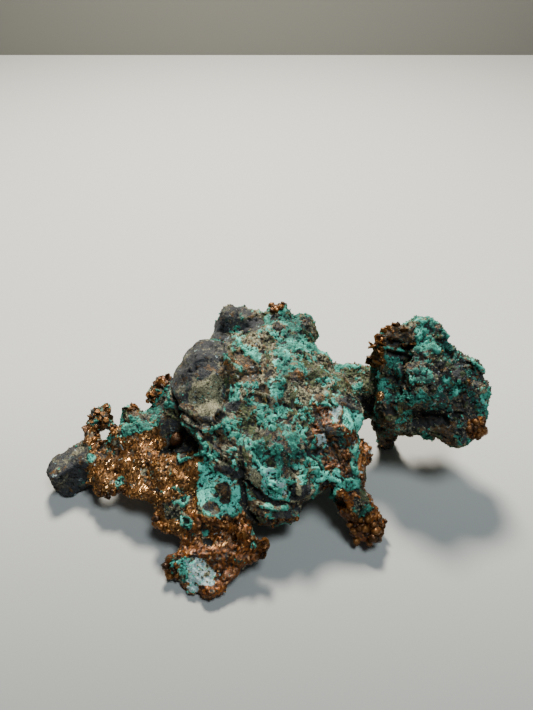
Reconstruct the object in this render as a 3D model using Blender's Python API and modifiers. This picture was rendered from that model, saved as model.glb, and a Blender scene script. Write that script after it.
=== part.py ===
"""A native copper nugget with host rock and a green copper-mineral crust, grown together as one piece.

Metres, +Z up. The nugget stands on z = 0 on its own feet, with the origin at the middle of its base.
+X runs towards the knob on the neck, -Y towards the copper apron, +Y towards the back of the hump.
The whole thing is one solid: its lumps, plates and limbs are laid over each other and fused, hollows
are taken out, the surface is roughened, and the feet are cut level where it stands. The forms are
placed from a point under the hump, and BASE_CENTRE says where the middle of the base is from there.
"""

import math
import random

import bmesh
import bpy
from mathutils import Euler, Matrix, Vector, noise

MM = 0.001

# Driving dimensions, in millimetres.
BASE_CENTRE = (-1.9, -1.8, 0.0)  # middle of the finished nugget's base
FUSE_VOXEL = 0.8  # grid on which the overlapping forms are fused
SHEET_THICK = 3.0  # the copper sheet on the left
APRON_THICK = 3.4  # the copper apron in front
SPUR_THICK = 4.5  # the green spur behind the sheet
SHELL_THICK = 4.5  # the sloping shell that the hump is built on
KNOB_SLAB_THICK = 11.0  # the craggy slab through the middle of the knob
RECESS_DEPTH = 9.0  # the dark recess between the sheet and the folds, across its slope
NODULE = (0.9, 1.7)  # smallest and largest radius of the nodules along a copper edge
NODULE_STRETCH = (0.8, 1.3)  # how flat or tall a nodule is, as a share of its radius
NODULE_LIFT = (-0.6, 0.8)  # how far a nodule sits below or above the middle of its plate
NODULE_PLACE = (0.2, 0.8)  # where a nodule sits in its own stretch of the edge
BLEND_PASSES = 3  # smoothing passes that round the junctions
BLEND_SHARE = 0.5  # how far each of those passes goes
TRIANGLES = 9400  # what the finished solid is reduced to
FRONT_SLOPE = 52.0  # slope, in degrees, of the slab through the knob and of the recess

# Surface relief: wavelength and height, in millimetres.
SWELLS = (9.0, 0.9)
KNOBS = (4.6, 1.05)
PITS = (2.7, 0.45)
RELIEF_SHIFTS = (0.0, 31.0, 57.0)  # keep the three layers of relief apart
NOISE_GAIN = 1.6  # brings the noise to about one at its highest

# How finely the single forms are made before they are fused.
LUMP_SUBDIVISIONS = 3
WEAR_SEGMENTS = 2
LIMB_RING = 3
LIMB_STEPS = 6
WELD = 0.001

# The finish: the mean colour of copper, crust and rock together.
CRUST_COLOUR = (0.29, 0.32, 0.25, 1.0)
CRUST_ROUGHNESS = 0.7

# The block that levels the feet: its width and depth.
GROUND_WIDTH = 300.0
GROUND_DEPTH = 100.0


def matrix_of(centre, turn=(0, 0, 0), size=(1, 1, 1)):
    """Places a unit shape: centre and size in millimetres, turn in degrees about X, Y and Z."""
    angles = Euler([math.radians(a) for a in turn])
    return Matrix.LocRotScale(Vector(centre) * MM, angles, Vector(size) * MM)


class Forms:
    """A heap of overlapping closed shapes, to be fused into one body."""

    def __init__(self):
        self.bm = bmesh.new()

    def lump(self, centre, radii, turn=(0, 0, 0)):
        """A rounded mass, as an ellipsoid of these radii."""
        bmesh.ops.create_icosphere(
            self.bm, subdivisions=LUMP_SUBDIVISIONS, radius=1, matrix=matrix_of(centre, turn, radii)
        )

    def block(self, centre, size, turn=(0, 0, 0), round_off=1.0):
        """An angular stone, as a box with its edges worn off."""
        box = bmesh.new()
        bmesh.ops.create_cube(box, size=1, matrix=Matrix.Diagonal(Vector(size) * MM).to_4x4())
        bmesh.ops.bevel(
            box, geom=box.edges[:], offset=round_off * MM, segments=WEAR_SEGMENTS, profile=0.5,
            affect="EDGES",
        )
        box.transform(matrix_of(centre, turn, (1 / MM,) * 3))
        mesh = bpy.data.meshes.new("block")
        box.to_mesh(mesh)
        box.free()
        self.take(mesh)

    def limb(self, *points):
        """A bar, branch or fold along points (x, y, z, radius), with round ends."""
        curve = bpy.data.curves.new("limb", "CURVE")
        curve.dimensions = "3D"
        curve.bevel_depth = MM
        curve.bevel_resolution = LIMB_RING
        curve.resolution_u = LIMB_STEPS
        curve.use_fill_caps = True
        spline = curve.splines.new("BEZIER")
        spline.bezier_points.add(len(points) - 1)
        for knot, (x, y, z, radius) in zip(spline.bezier_points, points):
            knot.co = Vector((x, y, z)) * MM
            knot.radius = radius
            knot.handle_left_type = knot.handle_right_type = "AUTO"
        self.take(mesh_of(bpy.data.objects.new("limb", curve)))
        for x, y, z, radius in (points[0], points[-1]):
            self.lump((x, y, z), (radius,) * 3)

    def plate(self, outline, height, thick):
        """A sheet: a plan outline, lifted so that its middle lies at height(x, y)."""
        grid = bpy.data.objects.new("plate", slab_mesh(outline, thick))
        remesh = grid.modifiers.new("grid", "REMESH")
        remesh.mode = "VOXEL"
        remesh.voxel_size = FUSE_VOXEL * MM
        bent = mesh_of(grid)
        for vertex in bent.vertices:
            vertex.co.z += height(vertex.co.x / MM, vertex.co.y / MM) * MM
        self.take(bent)

    def slab(self, outline, centre, thick, turn):
        """A flat piece of rock: an outline about its own centre, then turned and placed."""
        mesh = slab_mesh(outline, thick)
        mesh.transform(matrix_of(centre, turn, (1 / MM,) * 3))
        self.take(mesh)

    def nodules(self, outline, height, every, seed):
        """Copper nodules along the edge of a plate, one in about this many millimetres."""
        pick = random.Random(seed)
        for (x0, y0), (x1, y1) in zip(outline, outline[1:] + outline[:1]):
            count = max(1, round(math.hypot(x1 - x0, y1 - y0) / every))
            for step in range(count):
                share = (step + pick.uniform(*NODULE_PLACE)) / count
                x, y = x0 + (x1 - x0) * share, y0 + (y1 - y0) * share
                radius = pick.uniform(*NODULE)
                lift = pick.uniform(*NODULE_LIFT)
                tall = radius * pick.uniform(*NODULE_STRETCH)
                self.lump((x, y, height(x, y) + lift), (radius, radius, tall))

    def take(self, mesh):
        self.bm.from_mesh(mesh)
        bpy.data.meshes.remove(mesh)

    def object(self, name):
        """The heap as an object with a Remesh that fuses it into one closed skin."""
        mesh = bpy.data.meshes.new(name)
        self.bm.to_mesh(mesh)
        self.bm.free()
        thing = bpy.data.objects.new(name, mesh)
        remesh = thing.modifiers.new("fuse", "REMESH")
        remesh.mode = "VOXEL"
        remesh.voxel_size = FUSE_VOXEL * MM
        return thing


def mesh_of(thing):
    """The evaluated mesh of an object, which is then removed. A curve's caps are welded on."""
    bpy.context.scene.collection.objects.link(thing)
    graph = bpy.context.evaluated_depsgraph_get()
    mesh = bpy.data.meshes.new_from_object(thing.evaluated_get(graph))
    bpy.data.objects.remove(thing)
    welded = bmesh.new()
    welded.from_mesh(mesh)
    bmesh.ops.remove_doubles(welded, verts=welded.verts, dist=WELD * MM)
    welded.to_mesh(mesh)
    welded.free()
    return mesh


def slab_mesh(outline, thick):
    curve = bpy.data.curves.new("slab", "CURVE")
    curve.dimensions = "2D"
    curve.fill_mode = "BOTH"
    curve.extrude = thick / 2 * MM
    spline = curve.splines.new("POLY")
    spline.points.add(len(outline) - 1)
    for corner, (x, y) in zip(spline.points, outline):
        corner.co = (x * MM, y * MM, 0, 1)
    spline.use_cyclic_u = True
    return mesh_of(bpy.data.objects.new("slab", curve))


def shell_height(x, y):
    """The hump's shell slopes down from its back to its front rim."""
    return 19.8 + 0.49 * y


def sheet_height(x, y):
    """The left-hand copper sheet rises to the right and to the back."""
    return 31.0 + 0.41 * x + 0.58 * y


def apron_height(x, y):
    """The apron runs down from the hump and levels out at its foot in front."""
    return max(1.6, 28.5 + 0.15 * x + 0.7 * y)


def spur_height(x, y):
    """The green spur behind the sheet rises towards the boulder."""
    return 33.0 + 0.52 * x + 0.01 * y


def hump(f):
    """The domed body: a sloping shell, the dome on it, the belly that carries it and the back foot."""
    shell = [
        (-26, 10), (-24, 13), (-20.5, 17.5), (-17, 21.5), (-15, 26.5), (-12.5, 30), (-9, 31), (-4.5, 29),
        (-1, 30), (2, 31.5), (7.5, 29), (10.5, 26.5), (12, 24), (10, 20), (11, 16), (17, 12), (17, 8),
        (21, 3), (21.5, -2), (23, -5), (22.5, -9), (21, -12), (15, -15), (11, -14), (8, -17.5), (4, -20.5),
        (-3, -21.5), (-5.5, -19), (-8, -14), (-13, -9), (-20, -3), (-26, 3),
    ]
    f.plate(shell, shell_height, SHELL_THICK)
    f.lump((0, 4.5, 21.5), (20, 25.5, 11.5), (27, 0, 0))
    f.lump((1, 19, 29.5), (12.5, 10, 8), (15, 0, 0))
    f.lump((9, 4, 22), (14, 15, 10), (24, 10, 0))
    f.block((-7, 11, 13), (20, 17, 18), (14, 18, 24), 4)
    f.block((9, 11, 14), (17, 18, 17), (-12, -16, -20), 4)
    f.block((1, 21, 13), (19, 14, 22), (-18, 8, 10), 4)
    f.block((-3, 23, 5), (13, 11, 12), (10, -8, 35), 3)
    f.lump((12, 18, 22), (7, 7, 7))
    f.lump((-14, 16, 17), (7, 8, 7))


def back_stones(f):
    """The stones and the bulb that stand up along the back of the hump."""
    f.block((-10, 28, 33), (9, 8, 8), (30, 15, 35), 2)
    f.lump((-6, 28, 32), (6, 5, 5))
    f.lump((2, 30, 34.5), (3.6, 3, 3.4))
    f.lump((8.5, 25.8, 31.5), (5, 5, 5))
    f.lump((9.6, 21.8, 29.7), (4, 5, 4))


def boulder(f):
    """The egg-shaped grey boulder set into the left side of the hump."""
    f.lump((-17.4, 8, 27.2), (8.5, 9.8, 13), (-38, 22, 0))
    f.lump((-19.5, 3.5, 23.5), (7, 5.5, 5.5))
    f.lump((-20, 3.5, 13.5), (9.5, 7, 8.5))
    f.lump((-24.5, -2, 13), (7.5, 6, 4.5), (0, -20, 0))


def folds(f):
    """Ropy folds that run from under the boulder round the dark recess and down to the front rim."""
    f.limb(
        (-26, 5, 25, 2.4), (-21, 0.5, 27, 2.6), (-18, -4, 26, 2.6), (-14.5, -9, 23.5, 2.8),
        (-10.5, -11.5, 20.5, 3),
    )
    f.limb((-10.5, -11.5, 20.5, 3), (-8, -13, 17, 2.8), (-6.5, -17, 13, 2.6))
    f.limb((-17, 0, 29, 2.6), (-13, -5, 28, 3), (-9, -9, 24, 3), (-5, -13, 20, 3))


def rim(f):
    """The bumps over the front crevice and the lip under it."""
    f.lump((-4, -13.8, 17), (3, 4.5, 4), (35, 0, 15))
    f.lump((1.8, -14.2, 16), (4.8, 4.2, 3.8), (30, 0, 0))
    f.lump((0, -13.5, 12.5), (7, 5, 4.5), (20, 0, 0))
    f.limb((-5.5, -17.5, 12.5, 2.6), (-1, -18.2, 12.5, 3.1), (4, -18, 12.5, 2.9), (7.5, -16.5, 12.5, 2.4))
    f.limb((-4, -20, 10, 1.8), (0, -20.5, 9.8, 2), (5, -19.5, 10.3, 1.8))


def front_stone(f):
    """The dark stone at the right end of the front rim."""
    f.block((8, -14.5, 15.5), (7, 8, 8), (30, 12, 25), 1.3)
    f.lump((13, -11.5, 17), (4, 4, 3.5))


def right_band(f):
    """The copper band down the right side of the hump, and the curled flakes beyond it."""
    f.limb(
        (17, 13, 26, 3.6), (17, 5, 26.5, 4.2), (16.5, -3, 24.5, 4.4), (17, -9, 19.5, 4.2),
        (18, -12, 15, 3.4),
    )
    f.lump((21.5, 1.5, 23), (2.6, 3.4, 3))
    f.limb((21, -3, 19.5, 1.8), (23.5, -4.5, 18, 1.2), (25.3, -5, 16, 1.1), (24, -7, 14.5, 1.2))
    f.limb((21, -7, 17, 1.8), (22.6, -9, 15, 1.5), (21.5, -11, 12, 1.5))
    f.lump((24, -2.5, 17.5), (1.3, 1.2, 1.5))


def sheet(f):
    """The left copper sheet with its nodular edge, the knob beyond the window and the green spur."""
    outline = [
        (-47.5, 1), (-44, 2), (-41, 2), (-38, 3), (-34, 3), (-24, 1), (-12, -5), (-8, -14), (-11, -24),
        (-19.5, -25), (-21, -23.5), (-24, -22.8), (-27, -22.3), (-28.3, -21), (-28.3, -18.3), (-32.5, -14.3),
        (-37.5, -11.8), (-41.5, -11.8), (-44.5, -11), (-46.5, -8), (-48, -6), (-48, -2),
    ]
    f.plate(outline, sheet_height, SHEET_THICK)
    f.nodules(outline[9:] + outline[:4], sheet_height, 3.2, 3)
    f.lump((-48, 10.5, 14), (3.2, 3.6, 3.2))
    f.lump((-46.3, 12, 15.4), (1.8, 1.8, 1.6))
    f.limb((-49, 8.5, 13, 2.2), (-49.3, 5, 12.5, 1.7), (-48.5, 1.5, 12.5, 2))
    f.limb((-45.5, 9.5, 13, 1.4), (-43.5, 6.5, 13, 1.3), (-41, 3, 14, 1.6))


def spur(f):
    """The green spur behind the sheet, with a brown lump on its end."""
    outline = [
        (-40, 5.5), (-40.3, 9), (-38.5, 11), (-35.2, 11.6), (-33.5, 9.4), (-32.5, 12.5), (-31, 16),
        (-28.5, 18), (-22, 16), (-20, 8), (-24, -1), (-31, 0), (-36, 2.5),
    ]
    f.plate(outline, spur_height, SPUR_THICK)
    f.lump((-37, 9, 16), (3, 2.8, 2.6))
    f.lump((-28.8, 15.6, 22), (3.2, 2.8, 3))
    f.lump((-32, 12.5, 19.5), (2.6, 2.6, 2.4))
    f.limb((-36, 3, 15.5, 1.8), (-31, 2, 18, 2), (-26, 1, 20.5, 2.2))


def apron(f):
    """The copper apron down to the front foot, with its side prong, slot and toes."""
    outline = [
        (-28, -17), (-15, -10), (-6, -13), (-5, -19), (-5.5, -23.5), (-6, -26.5), (-3, -27.2), (-1, -28.5),
        (-1, -29.8), (-3, -30.6), (-6.5, -31), (-9, -33.5), (-10.5, -35), (-13.5, -35.8), (-15.5, -35),
        (-17, -34), (-18, -35.2), (-20.3, -34.8), (-20.8, -32.5), (-22.8, -32), (-23.8, -30.8), (-23.5, -29),
        (-22, -28), (-20.5, -27.2), (-20, -26), (-19, -25.3), (-21, -23.5), (-26, -21),
    ]
    f.plate(outline, apron_height, APRON_THICK)
    f.nodules(outline[4:], apron_height, 3.4, 5)
    f.lump((-11.5, -16.5, 17), (2.6, 2.6, 2))
    f.lump((-14, -18.5, 14.5), (2.2, 2.2, 1.6))
    f.lump((-19.5, -32.6, 1.2), (2.8, 2.2, 2.2))
    f.lump((-13.5, -33.2, 1.2), (3.4, 2.4, 2.2))


def left_stone(f):
    """The block of host rock that the sheet grips at its left end."""
    f.block((-53.2, -1.2, 5.2), (12.4, 8.6, 11), (-4, -14, 34), 1.6)
    f.lump((-57, -4, 2.8), (3.2, 3, 4))


def right_leg(f):
    """The copper leg in front of the right side, down to its knobbly tip."""
    f.limb((16, -11, 16, 4.5), (19, -14, 11.5, 4.4), (22, -17, 7.5, 4.3), (24.5, -19, 4, 4.2))
    f.lump((26.8, -18.2, 4), (2.6, 2.6, 2.6))
    f.lump((22.5, -19.5, 3), (2.6, 2.6, 2.8))


def neck(f):
    """The bridge to the knob, and the foot under it."""
    f.limb((12, 14.5, 23, 5.5), (20, 13.3, 23.6, 4.8), (28, 12, 24.6, 4.8), (36, 10, 27, 7))
    f.lump((24, 13.5, 26.8), (6.5, 3.2, 2.8))
    f.block((28.5, 12, 18.5), (12, 8, 9), (10, 28, 0), 2.5)
    f.limb((35, 8.5, 24, 5), (34, 10.5, 15, 4.4), (34, 13, 7, 3.3), (34.3, 14, 1.5, 2.7))


def knob(f):
    """The craggy knob at the end of the neck: a sloping slab with bosses and ledges on both sides."""
    slab = [
        (-14.5, 3), (-13.5, 6), (-11.8, 9), (-11, 12.5), (-8.5, 14.5), (-5, 15), (-2.5, 16.5), (1, 14.5),
        (3.2, 11.5), (5.2, 8.5), (9, 6.5), (13, 3.5), (15.2, -0.5), (16, -4), (14, -7), (14.5, -11.5),
        (11.5, -13.5), (6, -15), (-3, -13.5), (-9, -13.5), (-11.5, -11.5), (-14, -6),
    ]
    f.slab(slab, (41.4, 9, 28.8), KNOB_SLAB_THICK, (FRONT_SLOPE, 0, 0))
    f.block((39, 7.5, 29), (17, 17, 18), (35, 14, 20), 4)
    f.block((46, 5.5, 24), (14.5, 14, 13), (45, -10, 35), 2)
    f.block((33.6, 12, 39.8), (10, 5.5, 4.5), (35, 24, -6), 1.0)
    f.block((28.6, 12, 34), (5, 3.2, 6), (30, 25, 0), 0.6)
    f.lump((31, 12, 37.2), (2.8, 2.6, 2.8))
    f.block((49, 6, 30.5), (11, 8, 8), (25, 30, 20), 1.5)
    f.lump((41, 14, 28), (10, 9, 9.5))
    f.lump((38, 3, 20), (6, 5, 5))


def hollows(f):
    """What is missing from the mass: the dark recess, the front crevice, the holes and the undercuts."""
    recess = [(-6, 4), (-0.5, 5.5), (6, -3), (-1.5, -4.5), (-5.5, -3)]
    f.slab(recess, (-22.5, -4.5, 21), RECESS_DEPTH, (FRONT_SLOPE, 0, 0))
    f.limb((-8, -13, 17.5, 1), (-5, -16.5, 15, 1.2), (0.5, -18.3, 14.5, 1.2), (6, -18.5, 13.8, 1))
    f.limb((-14.5, 20, 35, 1.2), (-9.5, 10, 37, 1.6), (-8, 1, 35, 1.6), (-12, -6, 29.5, 1.4))
    f.lump((-8, -26, 9), (1.2, 1.8, 4), (30, 0, 0))
    f.lump((1, -19, 37.3), (14, 14, 14))
    f.lump((15.5, -15.5, 11.5), (4.2, 4, 3), (25, 0, -10))
    f.lump((-15.5, -25, 9), (0.9, 0.9, 4))
    f.lump((-39.8, 4.4, 13.5), (1.3, 1.1, 5))
    f.lump((-27, -7.5, 18), (1.6, 1.4, 4))
    f.lump((35, 8.3, 38), (5.5, 3.2, 2.2), (30, 0, 12))
    f.lump((40.5, 0.3, 19.3), (6.5, 3, 2.2), (20, 0, 0))
    f.lump((48, -1, 32), (4, 3, 5), (0, 20, 0))


def fused(solid, hollow):
    """One closed mesh of the solid forms with the hollows taken out."""
    cutter = bpy.data.objects.new("hollows", mesh_of(hollow.object("hollows")))
    bpy.context.scene.collection.objects.link(cutter)
    body = solid.object("forms")
    carve = body.modifiers.new("carve", "BOOLEAN")
    carve.operation = "DIFFERENCE"
    carve.object = cutter
    remesh = body.modifiers.new("close", "REMESH")
    remesh.mode = "VOXEL"
    remesh.voxel_size = FUSE_VOXEL * MM
    blend = body.modifiers.new("blend", "SMOOTH")
    blend.iterations = BLEND_PASSES
    blend.factor = BLEND_SHARE
    whole = mesh_of(body)
    bpy.data.objects.remove(cutter)
    return whole


def relief(place):
    """Height of the surface over the fused forms, in millimetres, at a place in millimetres."""
    height = 0.0
    for (wave, tall), shift in zip((SWELLS, KNOBS, PITS), RELIEF_SHIFTS):
        height += tall * noise.noise(place / wave + Vector((shift, 0, 0))) * NOISE_GAIN
    return height


def roughen(mesh):
    moves = [v.normal * relief(v.co / MM) * MM for v in mesh.vertices]
    for vertex, move in zip(mesh.vertices, moves):
        vertex.co += move


def collection(name):
    """A new collection in the scene. The cutters' one stays out of a render."""
    made = bpy.data.collections.new(name)
    made.hide_render = name == "cutters"
    bpy.context.scene.collection.children.link(made)
    return made


def ground():
    """A cutter whose top is the surface that the nugget stands on. It levels the feet."""
    size = Vector((GROUND_WIDTH, GROUND_WIDTH, GROUND_DEPTH))
    box = bmesh.new()
    bmesh.ops.create_cube(box, size=1, matrix=matrix_of((0, 0, -GROUND_DEPTH / 2), size=size))
    mesh = bpy.data.meshes.new("ground")
    box.to_mesh(mesh)
    box.free()
    block = bpy.data.objects.new("ground", mesh)
    block.hide_render = True
    block.display_type = "WIRE"
    collection("cutters").objects.link(block)
    return block


def nugget():
    solid = Forms()
    for part in (
        hump, back_stones, boulder, folds, rim, front_stone, right_band, sheet, spur, apron, left_stone,
        right_leg, neck, knob,
    ):
        part(solid)
    hollow = Forms()
    hollows(hollow)
    mesh = fused(solid, hollow)
    roughen(mesh)
    mesh.transform(Matrix.Translation(-Vector(BASE_CENTRE) * MM))
    mesh.name = "copper_nugget"
    thing = bpy.data.objects.new("copper_nugget", mesh)
    collection("copper_nugget").objects.link(thing)
    reduce = thing.modifiers.new("reduce", "DECIMATE")
    reduce.ratio = TRIANGLES / sum(len(p.vertices) - 2 for p in mesh.polygons)
    reduce.use_collapse_triangulate = True
    level = thing.modifiers.new("level", "BOOLEAN")
    level.operation = "DIFFERENCE"
    level.object = ground()
    return thing


def crusted_copper():
    material = bpy.data.materials.new("crusted_copper")
    material.use_nodes = True
    shader = material.node_tree.nodes["Principled BSDF"]
    shader.inputs["Base Color"].default_value = CRUST_COLOUR
    shader.inputs["Roughness"].default_value = CRUST_ROUGHNESS
    return material


for old in list(bpy.data.objects):
    bpy.data.objects.remove(old)
nugget().data.materials.append(crusted_copper())
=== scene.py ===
"""Looks of the native copper nugget: rough copper, a chalky green crust and grey host rock.

The CAD solid gives the shape. Its surface is divided finely here and roughened by what it is made
of in each place: hackly copper, botryoidal green crust, granular rock. Crystals, crumbs, grit,
leaves and nodules are separate meshes that sit in that skin. Lengths are millimetres, except in
the finished meshes, the room, the lights and the camera, which are in metres.
"""

import math
from itertools import product

import bmesh
import bpy
import numpy as np
from mathutils import Matrix, Vector
from mathutils.bvhtree import BVHTree


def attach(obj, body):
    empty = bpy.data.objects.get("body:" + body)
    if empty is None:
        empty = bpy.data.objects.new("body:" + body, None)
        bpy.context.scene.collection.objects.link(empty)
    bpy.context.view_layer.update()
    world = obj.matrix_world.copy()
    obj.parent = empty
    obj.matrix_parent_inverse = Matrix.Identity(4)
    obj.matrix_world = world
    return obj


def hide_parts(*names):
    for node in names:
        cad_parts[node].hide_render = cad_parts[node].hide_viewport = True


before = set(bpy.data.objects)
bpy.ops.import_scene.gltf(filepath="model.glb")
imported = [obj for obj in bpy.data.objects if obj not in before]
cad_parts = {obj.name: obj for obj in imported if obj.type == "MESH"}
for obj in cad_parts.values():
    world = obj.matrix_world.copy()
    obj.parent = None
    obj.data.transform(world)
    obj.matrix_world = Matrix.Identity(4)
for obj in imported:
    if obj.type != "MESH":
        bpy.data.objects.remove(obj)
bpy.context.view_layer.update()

MM = 0.001
NODE = "copper_nugget"
UV_MAP = "OFBake"

# ---- camera
IMAGE = (533, 710)
FOCAL_PX = 640.0
PITCH = math.radians(38.0)
EYE = np.array((0.921, -117.730, 137.753))
RIGHT = np.array((1.0, 0.0, 0.0))
UP = np.array((0.0, math.sin(PITCH), math.cos(PITCH)))
AHEAD = np.array((0.0, math.cos(PITCH), -math.sin(PITCH)))


def ray_of(px, py):
    """Direction from the camera through a point of the image."""
    way = AHEAD + RIGHT * ((px - IMAGE[0] / 2) / FOCAL_PX) - UP * ((py - IMAGE[1] / 2) / FOCAL_PX)
    return way / np.linalg.norm(way)


def to_image(points):
    """Image coordinates of points."""
    rel = points - EYE
    depth = rel @ AHEAD
    across, up = FOCAL_PX * (rel @ RIGHT) / depth, FOCAL_PX * (rel @ UP) / depth
    return np.column_stack((IMAGE[0] / 2 + across, IMAGE[1] / 2 - up))


# ---- noise
NOISE_HEIGHT = 1.6  # brings the noise to about -1 to 1
OCTAVE_SCALE, OCTAVE_SHIFT = 2.03, 31.7


def lattice(at, seed):
    """Three repeatable numbers from 0 to 1 for each integer cell."""
    x, y, z = (at[:, i].astype(np.int64).astype(np.uint32) for i in range(3))
    h = x * np.uint32(374761393) + y * np.uint32(668265263) + z * np.uint32(2147483647)
    h = h + np.uint32(seed * 974711 % 4294967291)
    h = (h ^ (h >> np.uint32(13))) * np.uint32(1274126177)
    h = (h ^ (h >> np.uint32(16))) * np.uint32(2246822519)
    h = h ^ (h >> np.uint32(15))
    parts = [(h >> np.uint32(shift)) & np.uint32(1023) for shift in (0, 10, 20)]
    return np.column_stack(parts) / 1023.0


def gradient_noise(points, seed):
    """Smooth noise, about -1 to 1, with one wave per unit."""
    cell = np.floor(points)
    f = points - cell
    u = f * f * f * (f * (f * 6 - 15) + 10)
    total = np.zeros(len(points))
    for corner in product((0, 1), repeat=3):
        way = lattice(cell + corner, seed) * 2 - 1
        weight = np.where(corner, u, 1 - u).prod(axis=1)
        total += weight * (way * (f - corner)).sum(axis=1)
    return total * NOISE_HEIGHT


def fractal(points, size, seed, octaves=3, gain=0.5):
    """Layers of smooth noise; size is the longest wave."""
    total, height, scale = np.zeros(len(points)), 1.0, 1.0 / size
    for octave in range(octaves):
        at = points * scale + OCTAVE_SHIFT * octave
        total += height * gradient_noise(at, seed + 7 * octave)
        height *= gain
        scale *= OCTAVE_SCALE
    return total


def fractals(points, size, seed, octaves, count=3):
    """Several such noises side by side."""
    return np.column_stack([fractal(points, size, seed + k, octaves) for k in range(count)])


def cells(points, size, seed):
    """Cell noise: distance to the nearest seed point, the way from it, and three numbers of its
    own for each cell. Distances are in cells."""
    p = points / size
    home = np.floor(p)
    best = np.full(len(p), 9.0)
    way, nearest = np.zeros_like(p), np.zeros_like(p)
    for step in product((-1, 0, 1), repeat=3):
        at = home + step
        rel = p - at - lattice(at, seed)
        dist = (rel * rel).sum(axis=1)
        nearer = dist < best
        best[nearer] = dist[nearer]
        way[nearer] = rel[nearer]
        nearest[nearer] = at[nearer]
    return np.sqrt(best), way, lattice(nearest, seed + 11)


def even(values):
    """The values spread evenly from 0 to 1, in the same order."""
    ranks = np.empty(len(values))
    ranks[np.argsort(values, kind="stable")] = np.linspace(0, 1, len(values))
    return ranks


def smoothstep(low, high, x):
    t = np.clip((x - low) / (high - low), 0, 1)
    return t * t * (3 - 2 * t)


def length(vectors):
    return np.linalg.norm(vectors, axis=1)


# ---- the divided surface
FLOW = math.radians(64.0)  # the grain of the copper runs this way in plan
REGIONS = ("sheet_side", "hump_front", "knob_side", "hump_back")
WELD = 1e-6
CUTS = 2
UV_ANGLE, UV_MARGIN = math.radians(70), 0.004
ROUNDING = 2  # passes that even out the divided surface
BEHIND = 1.6  # a point is hidden where it lies this much behind the nearest one
PATCH_PX = 2.0  # size of the image patches in which nearest points are looked for
FACING = 0.02  # least cosine between the normal and the way to the camera
RAY_REACH = 500.0
LINE_STEP, OUTLINE_MARGIN = 0.7, 10  # pixels


def region_at(x, y):
    """The region that a place in plan belongs to, as its index."""
    if x < -18 - 0.5 * y:
        return 0
    if x > 22 + 0.25 * y and y > -8:
        return 2
    return 3 if y > 6 else 1


class Skin:
    """The nugget's surface as arrays."""

    def __init__(self):
        base = bpy.data.objects.new("base", self.welded(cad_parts[NODE].data))
        bpy.context.scene.collection.objects.link(base)
        self.unwrap(base)
        round_off = base.modifiers.new("round", "SUBSURF")
        round_off.levels = round_off.render_levels = 1
        graph = bpy.context.evaluated_depsgraph_get()
        mesh = bpy.data.meshes.new_from_object(base.evaluated_get(graph))
        self.edit(mesh, mesh, self.divide)
        self.points = self.read(mesh.vertices, "co", 3).astype(float) / MM
        self.quads = self.read(mesh.loops, "vertex_index", 1, np.int32).reshape(-1, 4)
        self.uv = self.read(mesh.uv_layers[UV_MAP].data, "uv", 2).reshape(-1, 4, 2)
        self.region = self.read(mesh.polygons, "material_index", 1, np.int32).ravel()
        ends = np.concatenate([self.quads[:, [k, (k + 1) % 4]] for k in range(4)])
        self.edges = np.unique(np.sort(ends, axis=1), axis=0)
        self.degree = np.bincount(self.edges.ravel(), minlength=len(self.points))
        self.points = self.spread(self.points, ROUNDING)
        bpy.data.objects.remove(base)

    @staticmethod
    def edit(source, target, change):
        """Writes the source mesh to the target, changed through BMesh."""
        bm = bmesh.new()
        bm.from_mesh(source)
        change(bm)
        bm.to_mesh(target)
        bm.free()
        return target

    @staticmethod
    def divide(bm):
        bmesh.ops.subdivide_edges(bm, edges=bm.edges[:], cuts=CUTS, use_grid_fill=True)

    @staticmethod
    def read(items, name, width, kind=np.float32):
        out = np.empty(len(items) * width, kind)
        items.foreach_get(name, out)
        return out.reshape(-1, width)

    def welded(self, mesh):
        def weld(bm):
            bmesh.ops.remove_doubles(bm, verts=bm.verts[:], dist=WELD)
            for layer in bm.loops.layers.uv[:]:
                bm.loops.layers.uv.remove(layer)

        return self.edit(mesh, bpy.data.meshes.new("skin"), weld)

    @staticmethod
    def unwrap(base):
        """Gives each region of the surface a UV map of its own."""
        mesh = base.data
        mesh.materials.clear()
        for name in REGIONS:
            mesh.materials.append(bpy.data.materials.new(name))
        for face in mesh.polygons:
            face.material_index = region_at(*(face.center / MM)[:2])
        mesh.uv_layers.new(name=UV_MAP)
        bpy.context.view_layer.objects.active = base
        base.select_set(True)
        for index in range(len(REGIONS)):
            for face in mesh.polygons:
                face.select = face.material_index == index
            bpy.ops.object.mode_set(mode="EDIT")
            bpy.ops.uv.smart_project(angle_limit=UV_ANGLE, island_margin=UV_MARGIN)
            bpy.ops.object.mode_set(mode="OBJECT")

    def normals(self):
        p = self.points
        a, b, c, d = (p[self.quads[:, k]] for k in range(4))
        face = np.cross(c - a, d - b)
        corners = self.quads.ravel()
        total = np.column_stack(
            [np.bincount(corners, np.repeat(face[:, k], 4), minlength=len(p)) for k in range(3)]
        )
        return total / np.maximum(length(total), 1e-12)[:, None]

    def spread(self, values, passes):
        """Averages values over the neighbours of each point."""
        v = values.reshape(len(self.points), -1).astype(float)
        i, j = self.edges.T
        for _ in range(passes):
            out = v.copy()
            for k in range(v.shape[1]):
                out[:, k] += np.bincount(i, v[j, k], minlength=len(v))
                out[:, k] += np.bincount(j, v[i, k], minlength=len(v))
            v = out / (self.degree + 1)[:, None]
        return v.reshape(values.shape)


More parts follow.
